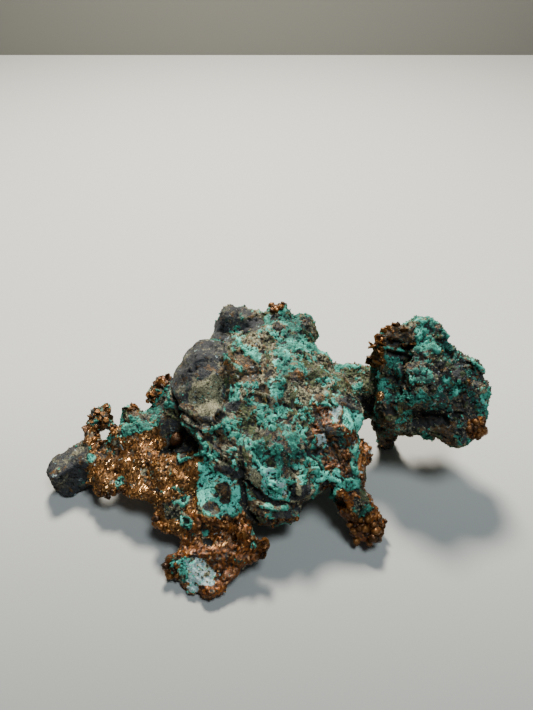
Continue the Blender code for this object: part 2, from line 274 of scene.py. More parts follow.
def seen_from_camera(skin, image):
    """1 for a point that the camera sees and 0 for one that is turned away or hidden."""
    to_eye = EYE - skin.points
    depth = length(to_eye)
    facing = (skin.normals() * to_eye).sum(axis=1) > FACING * depth
    spot = np.floor(image / PATCH_PX).astype(int)
    key = spot[:, 0] * 1000 + spot[:, 1]
    order = np.lexsort((depth, key))
    starts = np.r_[True, key[order][1:] != key[order][:-1]]
    front = np.maximum.accumulate(np.where(starts, np.arange(len(key)), 0))
    nearest = np.empty(len(key))
    nearest[order] = depth[order][front]
    return (facing & (depth < nearest + BEHIND)).astype(float)


class Photo:
    """Finds places on the surface from image coordinates."""

    def __init__(self, skin):
        self.tree = BVHTree.FromPolygons(skin.points.tolist(), skin.quads.tolist())
        self.image = to_image(skin.points)
        self.seen = seen_from_camera(skin, self.image)

    def on(self, px, py):
        """The surface point at a place in the image, or None beside the nugget."""
        hit = self.tree.ray_cast(Vector(EYE), Vector(ray_of(px, py)), RAY_REACH)[0]
        return None if hit is None else np.array(hit)

    def line(self, places):
        """Surface points along a line through places in the image."""
        out = []
        for (x0, y0), (x1, y1) in zip(places, places[1:]):
            count = max(1, int(math.hypot(x1 - x0, y1 - y0) / LINE_STEP))
            for k in range(count + 1):
                found = self.on(x0 + (x1 - x0) * k / count, y0 + (y1 - y0) * k / count)
                if found is not None:
                    out.append(found)
        return np.array(out).reshape(-1, 3)

    def inside(self, outline, soft, ragged=None):
        """How far each seen point lies inside an outline in the image, from 0 to 1."""
        out = np.zeros(len(self.seen))
        polygon = np.array(outline)
        near = inside_box(self.image, polygon, OUTLINE_MARGIN) & (self.seen > 0)
        p = self.image[near] + (0 if ragged is None else ragged[near])
        odd = np.zeros(len(p), bool)
        nearest = np.full(len(p), 1e9)
        for a, b in zip(polygon, np.roll(polygon, -1, axis=0)):
            span = b - a
            t = np.clip(((p - a) @ span) / (span @ span), 0, 1)
            nearest = np.minimum(nearest, length(p - a - t[:, None] * span))
            crosses = (a[1] > p[:, 1]) != (b[1] > p[:, 1])
            rise = span[1] or 1e-9
            odd ^= crosses & (p[:, 0] < a[0] + (p[:, 1] - a[1]) * span[0] / rise)
        signed = np.where(odd, nearest, -nearest)
        out[near] = smoothstep(-soft, soft, signed)
        return out


def inside_box(points, corners, margin):
    low, high = corners.min(axis=0) - margin, corners.max(axis=0) + margin
    return (points > low).all(axis=1) & (points < high).all(axis=1)


def near_line(points, line, width):
    """1 on a line, falling smoothly to 0 at width from it."""
    out = np.zeros(len(points))
    if len(line):
        some = inside_box(points, line, width)
        gap = np.min([((points[some] - q) ** 2).sum(axis=1) for q in line], axis=0)
        out[some] = np.clip(1 - gap / width**2, 0, 1) ** 2
    return out


# ---- what it is made of, and where
LAYERS = ("copper", "brown", "green", "tone", "olive", "pale", "dark", "warm", "rough")

# Each line of the tables below is one row, read by rows().

# Share of the surface that each layer covers, in percent and in the order of LAYERS. Tone runs from
# slate, 0, to beige, 100, and for the crust from deep to bright green. Warm is orange, smooth and
# glossy copper; rough is how strong the relief is. Dark is black painted into the low places, pits
# and cracks: painted shade.
# curl: its pale share stands in for the curls' highlights: painted highlight
# light green: pale crust, painted lighter still as painted light on a lobe turned from the lamps
FINISHES = """
base:            0  30  45  60   0   0   0   0 100
copper:         95  25   2  40   0   0   0  12  75
tarnished:      92  75   2  40   0   0   5  25  50
dull copper:    50  75  12  40   0   0   0  20 100
orange copper:  97  55   2  12   0   0   8  64  80
varnished:      97  30   3  17   0   0   5  95  80
red copper:     72  90   8   5   0   0  22  95 100
curl:           95  50   4  50   0  14   0  60  35
bright green:    0   4  92  97   0   0   0   0  55
light green:     0   2  97 100   0  22   0   0  50
green:           2  10  84  70   0   0   0   0  90
teal:            0  16  76  40   8   0   0   0  90
deep green:      2  35  50  28  34   0  16   0 110
patchy green:    3  30  54  62  26   0  10   0 100
sparse green:    6  34  30  55  22   0   0   0 100
dim green:       0  20  58  44  44   0   0   0  70
beige:           0   8   3 100   0   0   0   0  45
sandy:           2  20  16  96  18   0   5   0  85
mottled:         0  14   3  30   0   0   6   0  40
grey:            0  16   2  20   0   0   0   0  28
slate:           0   5   2  14   0   0  16   0  40
recess:          0   0   0  34   0   0   0   0  12
purple:          3  32  28  22  20   0  20   0 110
tan:             5  72  14  44  28   0  14   0  90
brown:          10  95   3  30   0   0   0  40  90
ochre:           3  95  14  62  44   0   0   0  90
gold:           12 110   0  50  10   0   0  30  55
olive:           3  40  12  50  80   0   0   0  80
pale:           10   5  34  90   0  66   0   0  60
pit:             2  45   3  10   0   0  95   0  80
"""

# The parts of the nugget all the way round, as ellipsoids: centre and radii.
MASSES = """
patchy green: -2,6,24 34,34,30
sparse green: 0,24,14 34,16,16
copper: -34,-8,12 24,19,14
varnished: -14,-30,5 20,14,10
patchy green: -34,15,15 13,11,9
dull copper: -50,8,10 8,9,12
slate: -54,-3,5 9,8,8
grey: -19,10,28 12,12,16
grey: -11,31,26 10,9,9
tan: 25,16,20 13,12,12
tan: 32,15,8 9,9,11
varnished: 23,-14,6 10,9,11
sparse green: 44,12,27 19,17,18
purple: 48,10,26 12,14,10
"""

# Regions that the front shows, as outlines in pixels of the image. Later ones cover earlier ones.
# The pit regions are painted black in the crevices: painted shade.
# light green lobe: pale crust, painted lighter still as painted light; it faces from the lamps
AREAS = """
# left stone and the little knob behind it
slate: 44,466 60,470 92,462 94,478 66,497 48,486
mottled: 52,461 70,446 88,446 92,458 80,465 60,468
dull copper: 80,405 108,402 112,424 92,442 80,436
deep green: 84,412 96,404 100,414 88,424
# sheet, its rims and the windows
copper: 92,444 112,438 134,432 163,424 166,448 182,462 204,456 200,498 186,545 150,530 90,500 \
    86,470
dull copper: 90,446 112,436 126,440 118,456 100,458
tarnished: 120,436 162,424 166,446 160,456 136,462 118,452
sparse green: 160,500 184,500 186,520 166,522
# spur
patchy green: 118,436 124,414 150,398 158,386 174,386 170,408 166,424 140,432
teal: 122,432 134,420 156,408 168,400 166,422 140,430
brown: 124,410 137,400 143,408 130,418
varnished: 155,388 160,374 178,366 176,380 162,390
brown: 147,404 148,390 157,388 156,400
# recess
recess: 162,420 177,418 191,428 206,446 200,452 182,456 170,448 160,434
brown: 201,428 207,428 212,442 206,444
# boulder
grey: 172,362 190,344 214,330 232,334 226,352 222,372 228,400 214,424 190,420 174,404 170,384
beige: 186,392 200,380 214,372 222,380 224,400 214,416 198,414 188,404
slate: 184,356 204,340 222,338 222,356 206,368 186,376
brown: 174,398 190,406 200,418 186,418 174,410
# folds below it
tan: 164,412 176,404 214,424 246,450 244,472 226,462 204,444 186,420
green: 206,440 216,440 222,456 204,464
green: 226,447 237,447 241,458 244,476 234,468 227,458
beige: 220,461 232,462 230,468 219,468
slate: 216,467 228,465 240,475 236,480 222,476
# apron
bright green: 200,464 213,466 222,476 238,480 243,498 232,512 220,520 206,514 197,503 198,486
varnished: 190,512 222,520 244,512 254,528 246,544 268,542 270,560 236,574 232,594 184,600 \
    164,580 180,552
orange copper: 186,516 222,521 240,514 246,530 226,548 190,546
green: 170,564 182,556 194,558 192,572 184,582 173,578
pale: 184,560 202,559 214,571 211,583 200,585 197,592 187,592 188,578
# crevice and the ledges right of it
pit: 240,452 244,470 246,500 256,522 250,524 242,508 240,480
beige: 249,466 258,465 263,478 262,491 255,486 248,476
light green: 255,461 262,466 276,470 286,482 290,500 276,500 262,494 262,476
pit: 246,482 262,494 276,500 290,504 276,506 260,502
green: 250,497 264,503 278,507 290,504 288,511 270,513 252,503
tan: 249,503 260,504 268,512 266,518 252,516
slate: 250,517 266,517 268,523 254,524
grey: 272,510 292,509 292,518 272,520
brown: 262,519 296,517 296,524 264,526
slate: 290,484 312,484 312,496 302,512 292,508
# hump
ochre: 221,356 232,352 256,352 256,376 242,386 228,386 220,372
green: 226,386 244,382 250,392 240,400 228,400
green: 246,344 257,344 258,356 248,356
slate: 224,401 240,399 238,412 226,413
olive: 241,406 256,406 258,428 246,434 239,424
dim green: 244,430 292,424 302,440 294,466 258,464 244,450
green: 255,403 272,403 273,426 258,428
green: 273,403 288,404 288,422 274,422
sandy: 262,336 272,338 276,372 272,404 262,402 260,366
slate: 238,332 246,321 260,318 264,326 256,334
grey: 212,324 224,306 238,302 254,314 240,326 218,334
slate: 213,326 220,317 232,322 228,331 216,332
sandy: 232,336 262,332 272,338 262,346 240,346
sandy: 286,382 312,378 326,390 318,408 284,408
olive: 304,360 326,362 330,376 306,378
olive: 286,372 306,372 312,384 290,384
deep green: 280,308 310,312 314,342 286,336
olive: 310,322 323,326 322,342 311,346
pit: 270,316 281,314 281,328 274,328
tan: 303,422 318,420 322,438 306,440
red copper: 312,404 332,406 350,412 356,440 352,480 330,482 316,452
pale: 330,406 341,407 339,424 330,422
grey: 327,425 337,425 337,438 328,438
pale: 315,435 322,435 332,446 320,448
bright green: 341,406 360,409 360,432 350,434 344,418
green: 350,444 356,444 357,474 351,474
curl: 356,436 375,440 372,462 362,480 357,476
grey: 337,396 360,406 358,412 340,404
green: 314,470 338,470 344,482 336,498 320,496 312,482
pit: 320,481 335,480 337,487 330,492 320,491
# leg
varnished: 334,492 352,488 372,510 388,520 388,545 352,545 340,512
green: 340,476 360,476 363,492 350,490 340,486
deep green: 352,498 366,496 370,512 362,520 354,512
olive: 358,482 366,484 370,500 360,498
# neck
olive: 328,368 376,366 380,396 342,396
green: 332,360 364,360 364,368 336,370
pit: 340,394 394,398 394,416 356,410
tan: 366,414 394,414 392,448 374,448
# head
deep green: 370,344 440,318 490,360 492,400 440,410 380,410
brown: 386,326 414,328 416,348 400,352 384,340
dull copper: 364,336 384,334 386,372 366,370
green: 416,318 424,318 438,350 416,352
deep green: 379,345 402,346 400,353 380,352
grey: 388,352 406,353 405,360 388,358
purple: 422,356 452,356 478,376 480,404 440,400 420,382
slate: 452,368 464,368 464,382 454,382
green: 478,388 494,386 492,406 480,406
olive: 398,398 424,400 424,416 400,416
pit: 412,410 446,410 446,426 414,428
tan: 410,427 440,428 440,443 412,440
brown: 438,420 456,420 456,446 440,446
deep green: 453,424 468,423 468,443 455,444
varnished: 466,418 487,417 488,438 468,438
"""

# Small marks: pixel across, pixel down and radius.
# The pit marks are dots painted black: painted shade.
DABS = """
green: 57,470,1 91,458,1.3 120,481,1.2 184,502,1.4 153,505,0.9 206,532,1 167,436,0.8 254,545,1 \
    95,409,1.2 281,310,1.5 357,384,1.9 385,388,2.2 412,378,1.1 428,373,1.6 422,391,1.8 \
    446,379,1.1 455,391,1.4 440,388,1.1 409,412,1.2 459,382,0.8 325,382,1.6
deep green: 188,522,1.7
beige: 143,473,1
grey: 210,507,1.3
copper: 380,396,1.4
pit: 149,454,0.6 208,542,1.2 291,470,0.8 262,352,0.9 284,344,0.8 300,352,0.9 270,372,0.9
brown: 188,520,0.6 226,493,1.5 274,306,1.6 286,470,1.2
gold: 229,371,2 246,366,1.3 241,357,1 259,398,1.1 300,372,1.5 320,398,1.3
olive: 248,415,2.3 250,424,1.7
"""

# Relief along lines: width and height, then the places. A negative height is a crack.
# The pit strokes are also painted black along the line: painted shade.
STROKES = """
# crease round the boulder
pit: 1,-0.9 171,396 178,408 192,420 212,426 224,414
tan: 0.7,-0.3 226,400 229,380 222,360
# folds
tan: 1,0.4 166,414 184,419 202,431 216,446 228,462
tan: 0.9,0.4 178,406 200,421 224,434 242,447 249,462
pit: 0.4,-0.35 172,412 192,426 210,439 224,454
slate: 1,0.5 217,468 227,468 239,477
tan: 0.5,0.5 225,446 224,456 232,463
pit: 0.4,-0.5 241,448 242,460 245,474
# rims of the recess, and its bead
green: 0.55,0.5 179,420 190,427 198,435 206,447
green: 0.6,0.7 179,456 181,462 191,458 205,452
green: 0.5,0.1 173,434 179,434 181,440 178,445 172,444 170,439 173,434
pit: 1.1,-1.1 160,452 165,450 171,449
# ring and knob on the apron, and the crescents on the sheet
tan: 0.6,0.5 217,487 221,484 225,487 223,492 218,491 217,487
brown: 0.9,-0.6 225,484 229,490 228,500 223,500
mottled: 0.7,0.2 205,506 209,502 214,504 218,510 213,513
green: 0.6,0.6 178,503 184,506 189,501 189,497
green: 0.6,0.3 182,517 182,524 190,527
tan: 1.9,0.7 252,507 258,510 263,514
# crevice between apron and hump, and on round the front stones
pit: 0.7,-0.9 241,470 243,485 245,500 249,512 256,522
pit: 0.7,-0.8 247,482 254,490 262,498 276,503 290,505
pit: 0.5,-0.5 290,486 290,496 293,508
green: 0.8,0.5 252,500 262,506 276,510 288,507
bright green: 0.6,0.5 256,461 261,468 264,474
green: 0.5,0.4 267,489 271,486 275,489 272,493 267,489
green: 0.6,0.4 278,491 284,488 289,494 284,498 278,491
beige: 0.8,0.3 298,486 299,495
beige: 0.6,0.3 312,490 307,500 303,510
beige: 0.5,0.2 292,503 298,501 303,510
# ledges of the hump
brown: 0.6,-0.4 314,408 320,424 328,440 336,456
grey: 0.9,0.5 338,400 348,406 358,410
bright green: 0.8,0.5 318,480 328,477 338,481
green: 0.8,0.6 320,492 328,497 336,493
pit: 0.35,-0.35 303,442 309,452 318,461 322,470
beige: 0.5,0.3 289,470 295,476 301,483
tan: 0.6,0.4 262,338 268,360 266,384 270,404
pit: 0.4,-0.5 284,404 292,408 302,408
green: 0.4,0.25 246,440 251,440 252,446 247,446 246,440
green: 0.4,0.25 253,441 257,442 257,447 253,446 253,441
# smooth curls of copper on the right edge
curl: 0.8,0.8 362,438 360,452 358,468 360,478
copper: 1.5,1 176,439 176,440
curl: 0.8,0.8 366,438 365,450 364,464
curl: 0.6,0.6 367,449 372,448 373,454 368,456 367,449
green: 0.6,0.5 355,446 353,460 355,472
brown: 0.3,-0.5 363,441 362,456 361,470
# head
brown: 0.8,0.8 390,328 402,330 412,340
pit: 1,-0.8 388,340 398,344 410,347
green: 0.6,0.6 378,346 390,348 402,350
pit: 0.6,-0.5 388,353 400,355 410,358
green: 1,0.4 420,318 424,330 428,342 438,351
pit: 0.8,-0.6 402,362 404,378 400,392
pit: 1.2,-0.8 424,412 434,416 444,420
green: 0.7,0.3 446,336 458,348 472,360 484,372
"""

# Copper that stands out along the edges: how many, smallest and largest size, and the outline.
GROWTHS = """
chip: 34,0.8,1.7 364,334 384,328 386,362 368,366
chip: 26,0.6,1.2 84,404 110,402 112,424 86,436
chip: 24,0.6,1.2 148,390 164,370 172,366 169,378 156,402 126,414 124,406
chip: 26,0.5,1.1 246,542 268,542 268,560 250,564
chip: 20,0.5,1 222,516 244,512 250,530 240,544
chip: 16,0.6,1.2 386,326 410,328 414,346 392,346
nodule: 9,0.4,0.8 357,436 374,440 372,462 362,480 356,476
nodule: 1,1.8,1.8 174,436 177,436 177,439 174,439
nodule: 22,0.5,0.9 94,426 114,424 114,442 94,444
nodule: 34,0.5,1.1 346,514 384,514 386,534 378,544 356,540
nodule: 10,0.3,0.6 264,518 296,515 296,524 266,526
nodule: 22,0.5,1 466,420 486,420 486,436 468,438
nodule: 14,0.5,0.9 270,302 284,304 282,316 270,314
nodule: 16,0.5,0.9 164,566 176,556 178,582 168,584
nodule: 16,0.4,0.8 100,488 124,488 126,497 102,500
nodule: 20,0.4,0.9 150,504 164,520 172,532 156,532
"""

OUTLINE_SOFT, OUTLINE_RAGGED, GROWTH_SOFT = 1.6, 3.5, 1.0  # pixels
MASS_WARP, DAB_WARP, STROKE_WARP = 2.2, 0.35, 0.3  # how far the noise bends their outlines
UNDERSIDE_BARE = 0.45  # share of the crust that is missing where the surface faces down
UNDERSIDE_BROWN = 0.5


def rows(table):
    """The label and the groups of numbers of each line such as "slate: 44,466 60,470"."""
    for line in table.strip().splitlines():
        if not line.startswith("#"):
            label, _, text = line.partition(":")
            groups = [[float(part) for part in group.split(",")] for group in text.split()]
            yield label, groups


def paint(skin, photo):
    """The share of each layer at every point, and the relief drawn along the strokes."""
    p = skin.points
    finishes = {label: np.concatenate(percent) / 100 for label, percent in rows(FINISHES)}
    layers = {name: np.full(len(p), start) for name, start in zip(LAYERS, finishes["base"])}

    def lay(finish, amount):
        for name, value in zip(LAYERS, finishes[finish]):
            layers[name] = layers[name] * (1 - amount) + value * amount

    warp = fractals(p, 7.0, 40, 2)
    for finish, (centre, radii) in rows(MASSES):
        lay(finish, 1 - smoothstep(0.85, 1.1, length((p + MASS_WARP * warp - centre) / radii)))
    below = smoothstep(0.25, 0.8, -skin.normals()[:, 2])
    layers["green"] *= 1 - UNDERSIDE_BARE * below
    layers["brown"] = np.maximum(layers["brown"], UNDERSIDE_BROWN * below)

    ragged = fractals(p, 3.2, 50, 3, 2) * OUTLINE_RAGGED
    for finish, outline in rows(AREAS):
        lay(finish, photo.inside(outline, OUTLINE_SOFT, ragged))
    for finish, marks in rows(DABS):
        for px, py, radius in marks:
            place = photo.on(px, py)
            if place is not None:
                gap = length(p + DAB_WARP * warp - place)
                lay(finish, 1 - smoothstep(0.75, 1.15, gap / radius))
    drawn = np.zeros(len(p))
    for finish, ((width, height), *places) in rows(STROKES):
        near = near_line(p + STROKE_WARP * warp, photo.line(places), width * 1.3)
        drawn += height * near
        lay(finish, smoothstep(0.15, 0.6, near))
    return layers, drawn


# In the noises below, the size comes first, the seed has three digits, and the factor in front of
# the noise is its height.
CONTRAST = 2.2  # how sharply a layer's value passes one half at the edge of a patch
HOLLOW_PASSES = 7  # hollows are looked for over this many neighbours


def patches(skin, layers, height):
    """Breaks the shares up into patches: a layer shows where its value is over one half."""
    p = skin.points
    raised = even(height)
    grain = {
        "copper": even(fractal(p, 2.2, 101, 4, 0.65) + 0.2 * raised),
        "brown": even(fractal(p, 2.6, 131, 4, 0.65) + 0.5 * raised),
        "green": even(fractal(p, 4.2, 161, 5, 0.8) - 0.5 * (raised - 0.5)),
        "olive": even(fractal(p, 4.0, 191, 3)),
        "pale": even(fractal(p, 1.8, 221, 4, 0.7)),
        # dark, painted black as painted shade, shows most in the low places
        "dark": even(fractal(p, 1.8, 251, 3, 0.7) + 0.9 * (raised - 0.5)),
    }
    out = {name: 0.5 + (layers[name] - grain[name]) * CONTRAST for name in grain}
    out["tone"] = layers["tone"] + 0.26 * fractal(p, 3.6, 281, 4, 0.7)
    out["warm"] = layers["warm"] + 0.2 * fractal(p, 3.0, 291, 3)
    return {name: np.clip(value, 0, 1) for name, value in out.items()}


def grooves(points, size, width, seed):
    """1 along narrow wandering lines, about one size apart."""
    return 1 - smoothstep(0, width, np.abs(fractal(points, size, seed)))


def holes(points, size, radius, seed, share=0.6):
    """1 at the bottom of scattered small pits."""
    near, _, own = cells(points, size, seed)
    reach = near * size / radius / (0.6 + 0.8 * own[:, 1])
    return (1 - smoothstep(0.2, 1, reach)) * (own[:, 2] < share)


def hackly(points, size, seed, steep):
    """Small tilted facets, as on torn or crystalline copper."""
    _, way, own = cells(points, size, seed)
    tilt = (own * 2 - 1) * steep
    return (way * tilt).sum(axis=1) * size + (own[:, 0] - 0.5) * 0.2 * size


def ridges(points, size, seed):
    """Narrow rounded ridges that wander and join, from 0 to 1."""
    return (1 - np.clip(np.abs(fractal(points, size, seed, 2)) * 2.2, 0, 1)) ** 1.5


def relief(skin, layers):
    """Height of the lumps, grooves and pits that everything is laid over."""
    p = skin.points
    bent = p + 0.5 * fractals(p, 2.4, 351, 2)
    lumps = 0.30 * fractal(p, 6.5, 301, 2) + 0.16 * fractal(p, 2.6, 311, 2, 0.6)
    crags = 0.45 * (hackly(bent, 2.7, 361, 0.42) + hackly(bent, 1.3, 371, 0.5))
    fine = 0.13 * fractal(bent, 0.95, 381, 2, 0.8)
    cut = 0.34 * grooves(p, 4.5, 0.10, 321) + 0.24 * grooves(p, 2.0, 0.12, 331)
    return layers["rough"] * (lumps + crags + fine - cut - 0.4 * holes(p, 1.9, 0.5, 341))


def roughen(skin, layers, drawn):
    """Moves the points by all of the relief, and gives the patches of each layer."""
    normals = skin.normals()
    base = relief(skin, layers)
    masks = patches(skin, layers, base)
    p, rough = skin.points, layers["rough"]
    copper = smoothstep(0.42, 0.58, masks["copper"])
    green = smoothstep(0.46, 0.54, masks["green"])
    warm = smoothstep(0.35, 0.65, masks["warm"])
    bare = copper * (1 - green)
    rock = (1 - copper) * (1 - green)

    height = base * (1 - bare * (0.78 - 0.20 * warm)) + drawn
    flow = (p @ np.array(Matrix.Rotation(FLOW, 3, "Z"))) * (0.25, 1.0, 1.0)
    grainy = 0.11 * fractal(flow, 1.4, 415, 3, 0.7) + 0.17 * ridges(flow, 0.8, 401)
    grainy += hackly(p, 0.6, 411, 0.06)
    glossy = 0.26 * fractal(p, 2.1, 417, 2, 0.4) + 0.28 * ridges(p, 2.3, 405)
    height += bare * (grainy + warm * (glossy - grainy))
    crust = 0.08 + 0.06 * fractal(p, 0.7, 431, 2) - 0.22 * holes(p, 1.0, 0.32, 441, 0.5)
    height += green * rough * crust
    height += rock * rough * (0.07 * fractal(p, 0.8, 451, 2, 0.7) + hackly(p, 0.7, 461, 0.16))
    height -= 0.35 * smoothstep(0.45, 0.7, masks["dark"]) * smoothstep(0.1, 0.4, rough)

    moved = p + normals * height[:, None]
    moved[:, 2] = np.maximum(moved[:, 2], 0.0)
    # cavity: high in the hollows; the materials paint shade into the hollows from it
    hollow = ((skin.spread(moved, HOLLOW_PASSES) - moved) * normals).sum(axis=1)
    deep = smoothstep(0.05, 0.7, -base) * (1 - 0.7 * bare)
    masks["cavity"] = np.clip(0.40 + hollow * 3.2 + 0.34 * deep, 0, 1)
    skin.points = moved
    return masks


# ---- materials
MIX_SOCKETS = {"FLOAT": (2, 0), "VECTOR": (4, 1), "RGBA": (6, 2)}  # first input, and output


class Value:
    """What a shader node gives out, with arithmetic that adds more nodes."""

    def __init__(self, nodes, socket):
        self.nodes, self.socket = nodes, socket

    def __add__(self, other):
        return self.nodes.math("ADD", self, other)

    def __sub__(self, other):
        return self.nodes.math("SUBTRACT", self, other)

    def __rsub__(self, other):
        return self.nodes.math("SUBTRACT", other, self)

    def __mul__(self, other):
        return self.nodes.math("MULTIPLY", self, other)


class Nodes:
    """A short way to write a material's nodes."""

    def __init__(self, name):
        self.material = bpy.data.materials.new(name)
        self.material.use_nodes = True
        self.tree = self.material.node_tree
        self.place = self.vector("MULTIPLY", self.add("TexCoord", "Object"), (1 / MM,) * 3)

    def link(self, value, socket):
        if isinstance(value, Value):
            self.tree.links.new(value.socket, socket)
        elif value is not None:
            socket.default_value = (*value, 1.0) if socket.type == "RGBA" else value

    def surface(self, name, value):
        self.link(value, self.tree.nodes["Principled BSDF"].inputs[name])

    def add(self, kind, output=0, inputs=None, **settings):
        """One of the outputs of a new node. Its inputs go by name or by number."""
        node = self.tree.nodes.new("ShaderNode" + kind)
        for key, value in settings.items():
            setattr(node, key, value)
        for key, value in (inputs or {}).items():
            self.link(value, node.inputs[key])
        return Value(self, node.outputs[output])

    def math(self, operation, *values):
        return self.add("Math", 0, dict(enumerate(values)), operation=operation)

    def vector(self, operation, *values):
        return self.add("VectorMath", 0, dict(enumerate(values)), operation=operation)

    def attribute(self, name):
        return self.add("Attribute", "Fac", attribute_name=name)

    def noise(self, scale, detail, rough, offset=0.0, place=None):
        at = self.vector("ADD", place or self.place, (offset,) * 3)
        inputs = {"Vector": at, "Scale": scale, "Detail": detail, "Roughness": rough}
        return self.add("TexNoise", "Fac", inputs)

    def cell(self, scale, output="Color", place=None):
        return self.add("TexVoronoi", output, {"Vector": place or self.place, "Scale": scale})

    def turned(self, angle):
        """The place, turned about the upright axis so that X runs at this angle."""
        inputs = {"Vector": self.place, "Angle": -angle}
        return self.add("VectorRotate", "Vector", inputs, rotation_type="Z_AXIS")

    def ramp(self, value, low, high, to_low=0.0, to_high=1.0):
        """A smooth step from to_low to to_high as the value goes from low to high."""
        inputs = dict(enumerate((value, low, high, to_low, to_high)))
        return self.add("MapRange", 0, inputs, interpolation_type="SMOOTHSTEP")

    def mix(self, share, a, b, kind="RGBA"):
        """A colour, number or direction part way from a to b."""
        first, output = MIX_SOCKETS[kind]
        return self.add("Mix", output, {0: share, first: a, first + 1: b}, data_type=kind)

    def blend(self, share, a, b):
        return self.mix(share, a, b, "FLOAT")

    def facets(self, scale, amount, place):
        """The surface normal, tipped a different way in each small cell."""
        tip = self.vector("SUBTRACT", self.cell(scale, place=place), (0.5,) * 3)
        tip = self.vector("SCALE", tip, None, None, amount)
        normal = self.add("NewGeometry", "Normal")
        return self.vector("NORMALIZE", self.vector("ADD", normal, tip))

    def bump(self, height, distance, strength, normal=None):
        """The surface normal over fine relief; the distance is in metres."""
        inputs = {"Strength": strength, "Distance": distance, "Height": height, "Normal": normal}
        return self.add("Bump", "Normal", inputs)


# Linear colours.
SLATE_DARK, SLATE_LIGHT = (0.007, 0.008, 0.012), (0.050, 0.052, 0.055)
BEIGE_DARK, BEIGE_LIGHT = (0.036, 0.032, 0.018), (0.350, 0.322, 0.192)
BROWN_DARK, BROWN_LIGHT = (0.010, 0.004, 0.001), (0.150, 0.062, 0.013)
OCHRE = (0.135, 0.060, 0.006)
COPPER_DARK, COPPER_MID = (0.048, 0.021, 0.005), (0.250, 0.117, 0.033)
# lighter copper painted on glinting crystals: painted highlights
COPPER_PAINTED_GLINT = (0.740, 0.390, 0.150)
WARM_DARK, WARM_MID = (0.050, 0.011, 0.001), (0.320, 0.095, 0.010)
GRIT_DARK, GRIT_LIGHT = (0.012, 0.008, 0.003), (0.190, 0.160, 0.090)
LEAF_DARK, LEAF_LIGHT = (0.016, 0.006, 0.002), (0.200, 0.080, 0.018)
GREEN_DEEP, GREEN_MID = (0.004, 0.048, 0.036), (0.016, 0.150, 0.110)
GREEN_LIGHT, GREEN_BRIGHT = (0.055, 0.335, 0.245), (0.140, 0.640, 0.500)
OLIVE_DARK, OLIVE_LIGHT = (0.011, 0.025, 0.004), (0.066, 0.096, 0.020)
PALE_BLUE, PALE_WHITE = (0.180, 0.360, 0.370), (0.520, 0.580, 0.580)
# black for the painted shade in hollows, low spots, pits and cracks
BLACK = (0.006, 0.006, 0.006)

GRAIN = 2.6  # crystals to a millimetre, in the copper's glints and facets and in the rock's specks


def rock_colour(n, tone):
    """Slate and sandstone in patches, with dark specks."""
    fine, coarse = n.noise(3.4, 3.0, 0.75), n.noise(1.1, 3.0, 0.65, 17.0)
    slate = n.mix(n.ramp(fine, 0.38, 0.70), SLATE_DARK, SLATE_LIGHT)
    beige = n.mix(n.ramp(fine, 0.34, 0.62), BEIGE_DARK, BEIGE_LIGHT)
    share = n.ramp(tone + (coarse - 0.5) * 1.3, 0.15, 0.80)
    speck = n.ramp(n.cell(GRAIN, "Distance"), 0.12, 0.26, 1.0, 0.0)
    return n.mix(speck * 0.55, n.mix(share, slate, beige), SLATE_DARK)


def copper_colour(n, along, cavity, glint, warm, tone):
    """Golden or orange copper, with painted shade in hollows and painted highlights on crystals."""
    grain = n.noise(2.4, 3.0, 0.7, 83.0, along)
    gold = n.mix(n.ramp(grain, 0.36, 0.66), COPPER_DARK, COPPER_MID)
    orange = n.mix(n.ramp(grain, 0.34, 0.62), WARM_DARK, WARM_MID)
    tarnish = n.ramp(n.noise(0.45, 3.0, 0.6, 5.0), 0.40, 0.62)
    body = n.mix(warm, n.mix(tarnish * 0.5, gold, BROWN_LIGHT), orange)
    # painted shade: the copper darkens in the hollows
    body = n.mix(n.ramp(cavity, 0.52, 0.85), body, BROWN_DARK)
    body = n.mix(n.ramp(tone, 0.10, 0.36, 0.62, 0.0), body, BROWN_DARK)
    # painted highlights: glinting crystals take a lighter copper, but not in the hollows
    return n.mix(glint * n.ramp(cavity, 0.4, 0.55, 1.0, 0.0), body, COPPER_PAINTED_GLINT)


def green_colour(n, cavity, tone):
    """Crust from deep to bright green, with painted shade in its pores and hollows."""
    mottle = n.noise(1.5, 5.0, 0.75, 9.0) * 0.6
    share = mottle + n.noise(0.42, 3.0, 0.6, 27.0) * 0.4 + (tone - 0.5) * 0.38
    body = n.mix(n.ramp(share, 0.36, 0.50), GREEN_DEEP, GREEN_MID)
    top = n.mix(n.ramp(tone, 0.66, 0.90), GREEN_LIGHT, GREEN_BRIGHT)
    body = n.mix(n.ramp(share, 0.47, 0.62), body, top)
    # painted shade: the pores are darkened to deep green in the colour only
    pores = n.ramp(n.cell(1.4, "Distance"), 0.12, 0.32, 0.8, 0.0)
    porous = n.ramp(n.noise(0.5, 2.0, 0.5, 19.0), 0.4, 0.6)
    body = n.mix(pores * porous, body, GREEN_DEEP)
    # painted shade in the hollows, down to black in the deepest
    body = n.mix(n.ramp(cavity, 0.50, 0.76), body, GREEN_DEEP)
    return n.mix(n.ramp(cavity, 0.68, 0.95), body, BLACK)


